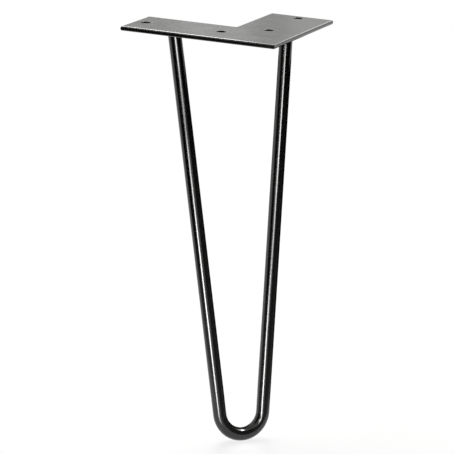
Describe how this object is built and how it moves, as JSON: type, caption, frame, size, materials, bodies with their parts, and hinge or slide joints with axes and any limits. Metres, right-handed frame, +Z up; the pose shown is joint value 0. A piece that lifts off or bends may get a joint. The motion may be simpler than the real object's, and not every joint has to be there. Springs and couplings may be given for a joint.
{
  "type": "hairpin table leg",
  "caption": "Black powder-coated hairpin table leg: a round steel bar bent into a narrow U and welded under a flat L-shaped plate with plain screw holes, leaning out to the plate's corner.",
  "frame": {"origin": "on the plate's top face, where the centre lines of its two arms cross", "axes": "+Z up, out of the plate's top face, towards the table top; the left arm runs along -X and the right arm along +Y, so the plate's outer corner points to +X and -Y and the foot hangs below at -Z"},
  "size_m": [0.1207, 0.1207, 0.305],
  "materials": {
    "black_powder_coat": "satin black powder coat on steel"
  },
  "bodies": {
    "root": {"mounting_plate": "black_powder_coat", "hairpin_rod": "black_powder_coat", "left_weld": "black_powder_coat", "right_weld": "black_powder_coat"}
  },
  "joints": []
}
